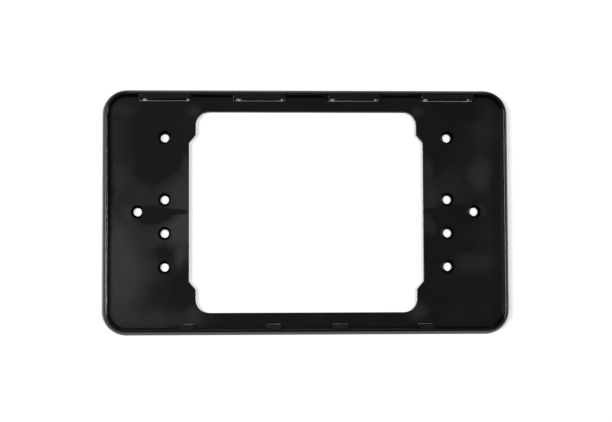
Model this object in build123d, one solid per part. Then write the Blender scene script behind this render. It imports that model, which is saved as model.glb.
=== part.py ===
from build123d import *
import os

# A number plate holder: one moulded frame with a pocket for a two-line plate.
# X runs along the plate, Y runs up it, Z points out of the car body; the back edge of the skirt is at Z = 0.

# Plate that the pocket takes
plate_width = 290.0
plate_height = 170.0
plate_play = 0.2

# Rim section, measured inwards from the outer edge
flank_lean = 2.3
crest_width = 2.0
wall_lean = 1.55
rim_width = flank_lean + crest_width + wall_lean
skirt_thickness = 2.0
skirt_draft = 0.3
corner_radius = 17.8

# Levels above the car body
depth = 10.0
floor_top = 4.5
floor_thickness = 2.0
floor_under = floor_top - floor_thickness

# Rounded edges of the rim section
crest_outer_round = 1.5
crest_inner_round = 0.8

# Bars left round the central window, which is drawn in at its corners beyond slanted shoulders
end_bar_height = 16.4
side_bar_width = 63.9
corner_draw_in = 4.95
corner_height = 17.3
shoulder_rise = 5.7
window_corner_round = 10.0
shoulder_round = 2.0

# Screw holes: two columns for one bolt spacing and a wider pair at mid height
inner_column_spacing = 210.0
inner_hole_heights = (55.0, 9.0, -16.0, -41.0)
outer_hole_spacing = 250.0
hole_diameter = 6.2
countersink_diameter = 10.2
boss_diameter = 11.0

# Fixed lips along the top edge, with a notch in the rim at each end
lip_pitch = 70.0
lip_width = 38.0
lip_overhang = 1.6
lip_thickness = 1.5
lip_front_gap = 1.1
notch_width = 1.6

# Snap clips along the bottom edge
clip_inner_spacing = 49.5
clip_outer_spacing = 177.0
clip_width = 11.0
clip_overhang = 2.2
clip_front_height = 8.9
clip_under = 7.9
clip_front_gap = 0.1

# Shared by lips and clips: their hold in the crest, the gap at their ends and their rounded edges
crest_bite = 0.8
end_gap = 0.1
nose_round = 0.25

# Sizes that follow from the ones above
outer_width = plate_width + 2 * (plate_play + rim_width)
outer_height = plate_height + 2 * (plate_play + rim_width)
floor_strip = rim_width + 1.0
window_wide = outer_width - 2 * side_bar_width
window_narrow = window_wide - 2 * corner_draw_in
window_top = outer_height / 2 - end_bar_height
shoulder_end = window_top - corner_height
shoulder_start = shoulder_end - shoulder_rise
pocket_edge = outer_height / 2 - rim_width
lip_root = wall_lean + crest_bite
lip_centres = [lip_pitch * step for step in (-1.5, -0.5, 0.5, 1.5)]
clip_spacings = (clip_inner_spacing, clip_outer_spacing)
clip_centres = [side * spacing / 2 for spacing in clip_spacings for side in (-1, 1)]
inner_holes = [(side * inner_column_spacing / 2, height) for side in (-1, 1) for height in inner_hole_heights]
outer_holes = [(side * outer_hole_spacing / 2, 0.0) for side in (-1, 1)]
hole_centres = inner_holes + outer_holes
countersink_depth = (countersink_diameter - hole_diameter) / 2
upright = (Align.CENTER, Align.CENTER, Align.MIN)


def rounded_at(face, corner, radius):
    """Rounds the corner of a flat face that is nearest to a point."""
    nearest = face.vertices().sort_by_distance(corner)[0]
    return fillet(nearest, radius)


def rim_section():
    """Rim, skirt and a strip of floor: x is the way in from the outer edge, y the height."""
    base = (0, 0)
    crest_outer = (flank_lean, depth)
    crest_inner = (flank_lean + crest_width, depth)
    wall_foot = (rim_width, floor_top)
    floor_edge = (floor_strip, floor_top)
    floor_edge_under = (floor_strip, floor_under)
    skirt_root = (skirt_thickness + skirt_draft, floor_under)
    skirt_edge = (skirt_thickness, 0)
    front = [base, crest_outer, crest_inner, wall_foot, floor_edge]
    back = [floor_edge_under, skirt_root, skirt_edge]
    section = make_face(Polyline(*front, *back, close=True))
    section = rounded_at(section, crest_outer, crest_outer_round)
    return rounded_at(section, crest_inner, crest_inner_round)


def rim():
    """The rim section drawn along each side and turned round each corner."""
    section = rim_section()
    straight_width = outer_width - 2 * corner_radius
    straight_height = outer_height - 2 * corner_radius
    sides = [(straight_width, outer_height), (straight_height, outer_width)] * 2
    ring = Part()
    for quarter, (length, across) in enumerate(sides):
        start = Plane(origin=(-length / 2, -across / 2, 0), x_dir=(0, 1, 0), z_dir=(1, 0, 0))
        end = start.offset(length)
        corner_centre = Axis((length / 2, corner_radius - across / 2, 0), (0, 0, 1))
        side = extrude(start * section, amount=length)
        corner = revolve(end * section, axis=corner_centre, revolution_arc=90)
        ring += Rot(0, 0, 90 * quarter) * (side + corner)
    return ring


def floor():
    """Flat floor that the plate rests on, up to the strip that the rim brings along."""
    inset = floor_strip - 0.5
    sheet = RectangleRounded(outer_width - 2 * inset, outer_height - 2 * inset, corner_radius - inset)
    return extrude(Plane.XY.offset(floor_under) * sheet, amount=floor_thickness)


def window():
    """Central window, with the four corners drawn in by the shoulders."""
    quarter = [
        (window_narrow / 2, window_top),
        (window_narrow / 2, shoulder_end),
        (window_wide / 2, shoulder_start),
    ]
    right = quarter + [(x, -y) for x, y in reversed(quarter)]
    outline = right + [(-x, y) for x, y in reversed(right)]
    sheet = make_face(Polyline(*outline, close=True))
    for x, y in outline:
        at_corner = abs(y) == window_top
        sheet = rounded_at(sheet, (x, y), window_corner_round if at_corner else shoulder_round)
    return extrude(sheet, amount=depth)


def screw_hole():
    """Clear hole with a countersink in the floor."""
    bore = Cylinder(hole_diameter / 2, depth, align=upright)
    head = Cone(hole_diameter / 2, countersink_diameter / 2, countersink_depth, align=upright)
    return bore + Pos(0, 0, floor_top - countersink_depth) * head


def boss():
    """Tube behind a screw hole that rests on the car body."""
    return Cylinder(boss_diameter / 2, floor_under + floor_thickness / 2, align=upright)


def core_opening(width, overhang, front_gap):
    """Opening through the floor under a lip or clip; y is the way in from the foot of the pocket wall."""
    half_width = width / 2 + end_gap
    front = overhang + front_gap
    corners = [(-half_width, -wall_lean), (half_width, -wall_lean), (half_width, front), (-half_width, front)]
    sheet = make_face(Polyline(*corners, close=True))
    return extrude(Plane.XY.offset(floor_under) * sheet, amount=depth)


def notch():
    """Notch in the pocket wall and crest at one end of a lip, down to the floor."""
    start = lip_width / 2 - nose_round
    length = nose_round + notch_width
    reach = lip_root + lip_overhang
    block = Box(length, reach, depth, align=Align.MIN)
    return Pos(start, -lip_root, floor_top) * block


def rounded_nose(shape, on_top):
    """Rounds the front and end edges of the face at a point on the top of a lip or clip."""
    edges = shape.faces().sort_by_distance(on_top)[0].edges().sort_by(Axis.Y)
    return fillet(edges[1:], nose_round)


def lip():
    """Fixed lip level with the crest; y is the way in from the foot of the pocket wall."""
    length = lip_root + lip_overhang
    slab = Box(lip_width, length, lip_thickness, align=(Align.CENTER, Align.MIN, Align.MAX))
    return rounded_nose(Pos(0, -lip_root, depth) * slab, (0, 0, depth))


def clip():
    """Snap clip with a sloping top; y is the way in from the foot of the pocket wall."""
    side = [
        (-lip_root, depth),
        (-wall_lean, depth),
        (clip_overhang, clip_front_height),
        (clip_overhang, clip_under),
        (-lip_root, clip_under),
    ]
    profile = make_face(Polyline(*side, close=True))
    wedge = extrude(Plane.YZ * profile, amount=clip_width / 2, both=True)
    mid_slope = (0, (clip_overhang - wall_lean) / 2, (depth + clip_front_height) / 2)
    return rounded_nose(wedge, mid_slope)


def along_top(shape, x):
    """Places a shape at the foot of the top pocket wall, turned to face into the pocket."""
    return Pos(x, pocket_edge, 0) * Rot(0, 0, 180) * shape


def along_bottom(shape, x):
    """Places a shape at the foot of the bottom pocket wall."""
    return Pos(x, -pocket_edge, 0) * shape


def plate_holder():
    """The whole moulding."""
    body = rim() + floor() - window()
    for x, y in hole_centres:
        body += Pos(x, y, 0) * boss()
    for x, y in hole_centres:
        body -= Pos(x, y, 0) * screw_hole()
    for x in lip_centres:
        body -= along_top(core_opening(lip_width, lip_overhang, lip_front_gap), x)
        body -= along_top(notch(), x)
        body -= along_top(mirror(notch(), about=Plane.YZ), x)
    for x in clip_centres:
        body -= along_bottom(core_opening(clip_width, clip_overhang, clip_front_gap), x)
    for x in lip_centres:
        body += along_top(lip(), x)
    for x in clip_centres:
        body += along_bottom(clip(), x)
    return body.clean()


os.makedirs("parts", exist_ok=True)
export_step(plate_holder().solid(), "parts/plate_holder.step")
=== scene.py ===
"""Finish, ground, lights and camera for the number plate holder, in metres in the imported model's frame."""
import math

import bpy
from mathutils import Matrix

# Camera, nearly straight above the middle of the holder: turn in degrees, sensor and lens in millimetres
camera_place = (-0.05048, -0.06468, 1.09861)
camera_turn = (3.418, -2.604, -0.217)
sensor_width = 36.0
lens_length = 86.98

# Ground that the holder lies on
ground_size = 6.0
ground_colour = (0.2, 0.2, 0.2)
ground_roughness = 0.9
ground_shine = 0.0

# Room: dim light from overhead, which fades out between these heights of the sky
room_brightness = 0.16
room_fade = (0.25, 0.60)

# Lights that fall on the holder: lean along X and Y for each unit of height, strength and spread in degrees
key_light = ((-0.56, 0.04), 1.4, 14.0)
top_light = ((0.00, 0.90), 0.12, 14.0)
low_light = ((1.70, 0.00), 1.2, 8.0)

# Lights that fall on the ground, all with the same lean along Y
ground_lean = 0.048
steep_light = ((0.00, ground_lean), 7.0, 1.0)
right_light = ((0.33, ground_lean), 4.3, 4.0)
strip_lights = [((lean, ground_lean), 1.88, 4.0) for lean in (-0.68, -0.56, -0.44)]

# Black plastic: glossy rim, satin lips and floor, matt outer sides and upright faces
plastic_colour = (0.0022, 0.0022, 0.0023)
rim_roughness = 0.16
lip_roughness = 0.24
floor_roughness = 0.20
side_roughness = 0.6

# How these faces are told apart: the floor by its height, outer sides by how far out their plane lies,
# upright and level faces by the height of their normal
floor_level = 0.0045
flat_within = 0.0002
side_facing = (0.03, 0.08)
upright_facing = (0.10, 0.20)
level_facing = (0.98, 1.00)

# Fine grain all over
grain_size = 0.0004
grain_height = 0.000002

# Grey painted into the floor's colour, partly flow marks of the moulding and partly painted sheen for the
# lights' reflection: its colour, a slow mottle and the waviness of its outlines
marks_and_sheen_colour = (0.040, 0.040, 0.041)
mottle_size = 0.02
mottle_strength = 0.1
warp_size = 0.015
warp_reach = 0.003

# Where the marks and painted sheen sit: the window's side edge and corners, and the two columns of holes
window_edge = 0.0872
window_corner = (0.083, 0.0745)
inner_holes = 0.105
outer_holes = 0.125
between_holes = 0.5 * (inner_holes + outer_holes)

# Patches of flow marks and painted sheen, negative where the floor is clear: middle, half size, strength and
# share of the soft edge
marks_and_sheen_on_both_sides = [
    ((between_holes - 0.005, -0.003), (0.023, 0.010), -1.1, 1.0),
    ((window_edge + 0.011, 0.0), (0.020, 0.0032), -1.2, 0.9),
    (window_corner, (0.008, 0.008), 0.35, 1.0),
    ((window_corner[0], -window_corner[1]), (0.011, 0.011), 0.5, 1.0),
]
marks_and_sheen_on_left = [
    ((-0.150, -0.050), (0.052, 0.085), 0.8, 1.0),
    ((-0.136, -0.045), (0.026, 0.045), 0.3, 0.7),
    ((-0.150, 0.010), (0.040, 0.065), 0.5, 0.9),
    ((-0.090, 0.015), (0.046, 0.034), 0.8, 1.0),
    ((-0.108, 0.031), (0.024, 0.023), -0.6, 1.0),
    ((-window_edge - 0.003, 0.036), (0.006, 0.012), 0.4, 1.0),
    ((-0.090, -0.013), (0.040, 0.022), 1.0, 0.9),
    ((-0.108, -0.036), (0.034, 0.024), 0.3, 1.0),
    ((-0.105, -0.030), (0.015, 0.011), -0.4, 1.0),
    ((-0.0925, -0.034), (0.007, 0.014), 0.7, 1.0),
    ((-0.105, -0.080), (0.048, 0.014), 0.45, 1.0),
    ((-0.145, 0.002), (0.024, 0.022), -0.4, 1.0),
    # Clear strip along the foot of the left wall: painted shade where the wall shadows the key light
    ((-0.1455, 0.0), (0.004, 0.085), -0.6, 1.0),
    ((-outer_holes - 0.006, -0.001), (0.007, 0.008), 0.4, 1.0),
    ((-0.135, 0.077), (0.014, 0.008), 0.25, 1.0),
    ((-0.145, 0.068), (0.026, 0.035), 0.25, 1.0),
]
marks_and_sheen_on_right = [
    ((0.130, 0.028), (0.014, 0.019), 0.4, 0.8),
    ((0.104, 0.017), (0.030, 0.024), 0.22, 0.9),
    ((window_edge + 0.004, 0.033), (0.007, 0.012), 0.3, 0.8),
    ((window_edge + 0.003, 0.011), (0.011, 0.022), 0.3, 0.9),
    ((window_edge + 0.005, -0.009), (0.010, 0.013), 0.35, 0.8),
    ((0.127, -0.039), (0.024, 0.013), 0.2, 0.8),
    ((0.136, 0.066), (0.016, 0.024), 0.22, 0.9),
    # Broad patch over the right side: painted sheen in place of light reflected from the right of the floor
    ((0.145, 0.0), (0.050, 0.12), 0.12, 0.9),
    ((outer_holes + 0.006, 0.001), (0.006, 0.007), 0.25, 1.0),
]


def make_camera():
    """Places the camera at the measured viewpoint."""
    lens = bpy.data.cameras.new("camera")
    lens.sensor_width = sensor_width
    lens.lens = lens_length
    camera = bpy.data.objects.new("camera", lens)
    camera.location = camera_place
    camera.rotation_euler = [math.radians(angle) for angle in camera_turn]
    bpy.context.scene.collection.objects.link(camera)
    bpy.context.scene.camera = camera


def make_ground():
    """A plain sheet under the holder, which its own lights make white."""
    half = ground_size / 2
    corners = [(-half, -half, 0), (half, -half, 0), (half, half, 0), (-half, half, 0)]
    mesh = bpy.data.meshes.new("ground")
    mesh.from_pydata(corners, [], [(0, 1, 2, 3)])
    material = bpy.data.materials.new("ground_white")
    material.use_nodes = True
    shader = material.node_tree.nodes["Principled BSDF"]
    shader.inputs["Base Color"].default_value = (*ground_colour, 1)
    shader.inputs["Roughness"].default_value = ground_roughness
    shader.inputs["Specular IOR Level"].default_value = ground_shine
    mesh.materials.append(material)
    ground = bpy.data.objects.new("ground", mesh)
    bpy.context.scene.collection.objects.link(ground)
    return ground


def make_light(name, slope, strength, spread, lit):
    """Even light from far away that falls on one object alone."""
    data = bpy.data.lights.new(name, "SUN")
    data.energy = strength
    data.angle = math.radians(spread)
    light = bpy.data.objects.new(name, data)
    light.location = (*slope, 1)
    light.rotation_euler = (-light.location).to_track_quat("-Z", "Y").to_euler()
    bpy.context.scene.collection.objects.link(light)
    receivers = bpy.data.collections.new(name + "_lit")
    receivers.objects.link(lit)
    light.light_linking.receiver_collection = receivers


def feed(tree, value, socket):
    """Gives a socket its value: a link from another socket, or a plain number."""
    if isinstance(value, bpy.types.NodeSocket):
        tree.links.new(value, socket)
    else:
        socket.default_value = value


def add_maths(tree, operation, *values):
    """Joins numbers or sockets by one operation."""
    maths = tree.nodes.new("ShaderNodeMath")
    maths.operation = operation
    for value, socket in zip(values, maths.inputs):
        feed(tree, value, socket)
    return maths.outputs["Value"]


def add_range(tree, value, source, target, change="LINEAR"):
    """Carries a value from one range to another, whose ends may be numbers or sockets."""
    carry = tree.nodes.new("ShaderNodeMapRange")
    carry.interpolation_type = change
    for end, name in zip((*source, *target), ("From Min", "From Max", "To Min", "To Max")):
        feed(tree, end, carry.inputs[name])
    tree.links.new(value, carry.inputs["Value"])
    return carry.outputs["Result"]


def add_height(tree, vector):
    """The part of a vector along Z."""
    split = tree.nodes.new("ShaderNodeSeparateXYZ")
    tree.links.new(vector, split.inputs["Vector"])
    return split.outputs["Z"]


def add_noise(tree, coords, size):
    """Noise about zero that varies over the given size."""
    noise = tree.nodes.new("ShaderNodeTexNoise")
    noise.normalize = False
    noise.inputs["Scale"].default_value = 1 / size
    tree.links.new(coords, noise.inputs["Vector"])
    return noise


def add_patch(tree, coords, middle, half_size, strength, soft_edge):
    """An oval patch with a soft edge."""
    shift = tree.nodes.new("ShaderNodeMapping")
    shift.vector_type = "TEXTURE"
    shift.inputs["Location"].default_value = (*middle, 0)
    shift.inputs["Scale"].default_value = (*half_size, 1)
    oval = tree.nodes.new("ShaderNodeTexGradient")
    oval.gradient_type = "SPHERICAL"
    tree.links.new(coords, shift.inputs["Vector"])
    tree.links.new(shift.outputs["Vector"], oval.inputs["Vector"])
    return add_range(tree, oval.outputs["Fac"], (0, soft_edge), (0, strength), "SMOOTHSTEP")


def make_room():
    """Dim light from overhead that fades out towards the horizon."""
    world = bpy.data.worlds.new("room")
    world.use_nodes = True
    tree = world.node_tree
    background = tree.nodes["Background"]
    background.inputs["Color"].default_value = (1, 1, 1, 1)
    direction = tree.nodes.new("ShaderNodeTexCoord").outputs["Generated"]
    fade = add_range(tree, add_height(tree, direction), room_fade, (0, room_brightness), "SMOOTHSTEP")
    tree.links.new(fade, background.inputs["Strength"])
    bpy.context.scene.world = world


def make_marks_and_sheen(tree, coords):
    """How much grey the floor gets for flow marks and painted sheen: patches over a slow mottle, those of
    one side alone with wavy outlines.
    """
    warp = tree.nodes.new("ShaderNodeVectorMath")
    warp.operation = "MULTIPLY_ADD"
    warp.inputs[1].default_value = (warp_reach, warp_reach, 0)
    tree.links.new(add_noise(tree, coords, warp_size).outputs["Color"], warp.inputs[0])
    tree.links.new(coords, warp.inputs[2])
    mottle = add_noise(tree, coords, mottle_size).outputs["Fac"]
    marks_and_sheen = add_maths(tree, "MULTIPLY", mottle, mottle_strength)
    mirrored = [((-x, y), *rest) for (x, y), *rest in marks_and_sheen_on_both_sides]
    for patch in marks_and_sheen_on_both_sides + mirrored:
        marks_and_sheen = add_maths(tree, "ADD", marks_and_sheen, add_patch(tree, coords, *patch))
    for patch in marks_and_sheen_on_left + marks_and_sheen_on_right:
        marks_and_sheen = add_maths(tree, "ADD", marks_and_sheen, add_patch(tree, warp.outputs["Vector"], *patch))
    return marks_and_sheen


def make_colour(tree, coords, on_floor):
    """Black, and grey where the floor has flow marks and painted sheen."""
    marks_and_sheen = add_maths(tree, "MULTIPLY", make_marks_and_sheen(tree, coords), on_floor)
    colour = tree.nodes.new("ShaderNodeMix")
    colour.data_type = "RGBA"
    colour.inputs["A"].default_value = (*plastic_colour, 1)
    colour.inputs["B"].default_value = (*marks_and_sheen_colour, 1)
    tree.links.new(marks_and_sheen, colour.inputs["Factor"])
    return colour.outputs["Result"]


def make_roughness(tree, coords, normal, on_floor):
    """Roughness of rim, lips and floor, and of the outer sides and upright faces."""
    facing_out = tree.nodes.new("ShaderNodeVectorMath")
    facing_out.operation = "DOT_PRODUCT"
    tree.links.new(coords, facing_out.inputs[0])
    tree.links.new(normal, facing_out.inputs[1])
    facing_up = add_height(tree, normal)
    tops = add_range(tree, facing_up, level_facing, (rim_roughness, lip_roughness))
    inside = add_range(tree, on_floor, (0, 1), (tops, floor_roughness))
    sides = add_range(tree, facing_out.outputs["Value"], side_facing, (inside, side_roughness))
    upright = add_range(tree, facing_up, upright_facing, (side_roughness, 0))
    return add_maths(tree, "MAXIMUM", sides, upright)


def make_grain(tree, coords):
    """Fine unevenness of the surface."""
    bump = tree.nodes.new("ShaderNodeBump")
    bump.inputs["Distance"].default_value = grain_height
    tree.links.new(add_noise(tree, coords, grain_size).outputs["Fac"], bump.inputs["Height"])
    return bump.outputs["Normal"]


def make_plastic():
    """Black moulded plastic with a fine grain, and flow marks and painted sheen in the floor's colour."""
    material = bpy.data.materials.new("black_plastic")
    material.use_nodes = True
    tree = material.node_tree
    shader = tree.nodes["Principled BSDF"]
    place = tree.nodes.new("ShaderNodeTexCoord")
    coords = place.outputs["Object"]
    on_floor = add_maths(tree, "COMPARE", add_height(tree, coords), floor_level, flat_within)
    roughness = make_roughness(tree, coords, place.outputs["Normal"], on_floor)
    tree.links.new(make_colour(tree, coords, on_floor), shader.inputs["Base Color"])
    tree.links.new(roughness, shader.inputs["Roughness"])
    tree.links.new(make_grain(tree, coords), shader.inputs["Normal"])
    return material


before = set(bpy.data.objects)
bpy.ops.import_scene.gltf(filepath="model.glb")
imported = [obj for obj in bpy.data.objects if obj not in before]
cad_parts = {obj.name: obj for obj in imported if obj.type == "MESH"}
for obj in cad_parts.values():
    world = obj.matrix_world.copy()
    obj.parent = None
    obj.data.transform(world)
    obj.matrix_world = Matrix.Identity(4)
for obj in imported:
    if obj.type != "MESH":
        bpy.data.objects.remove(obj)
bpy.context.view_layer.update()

make_camera()
make_room()
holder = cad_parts["plate_holder"]
ground = make_ground()
make_light("key", *key_light, holder)
make_light("top", *top_light, holder)
make_light("low", *low_light, holder)
make_light("steep", *steep_light, ground)
make_light("right", *right_light, ground)
for number, strip in enumerate(strip_lights):
    make_light(f"strip_{number}", *strip, ground)
holder.material_slots[0].material = make_plastic()
bpy.context.scene.view_settings.view_transform = "Standard"
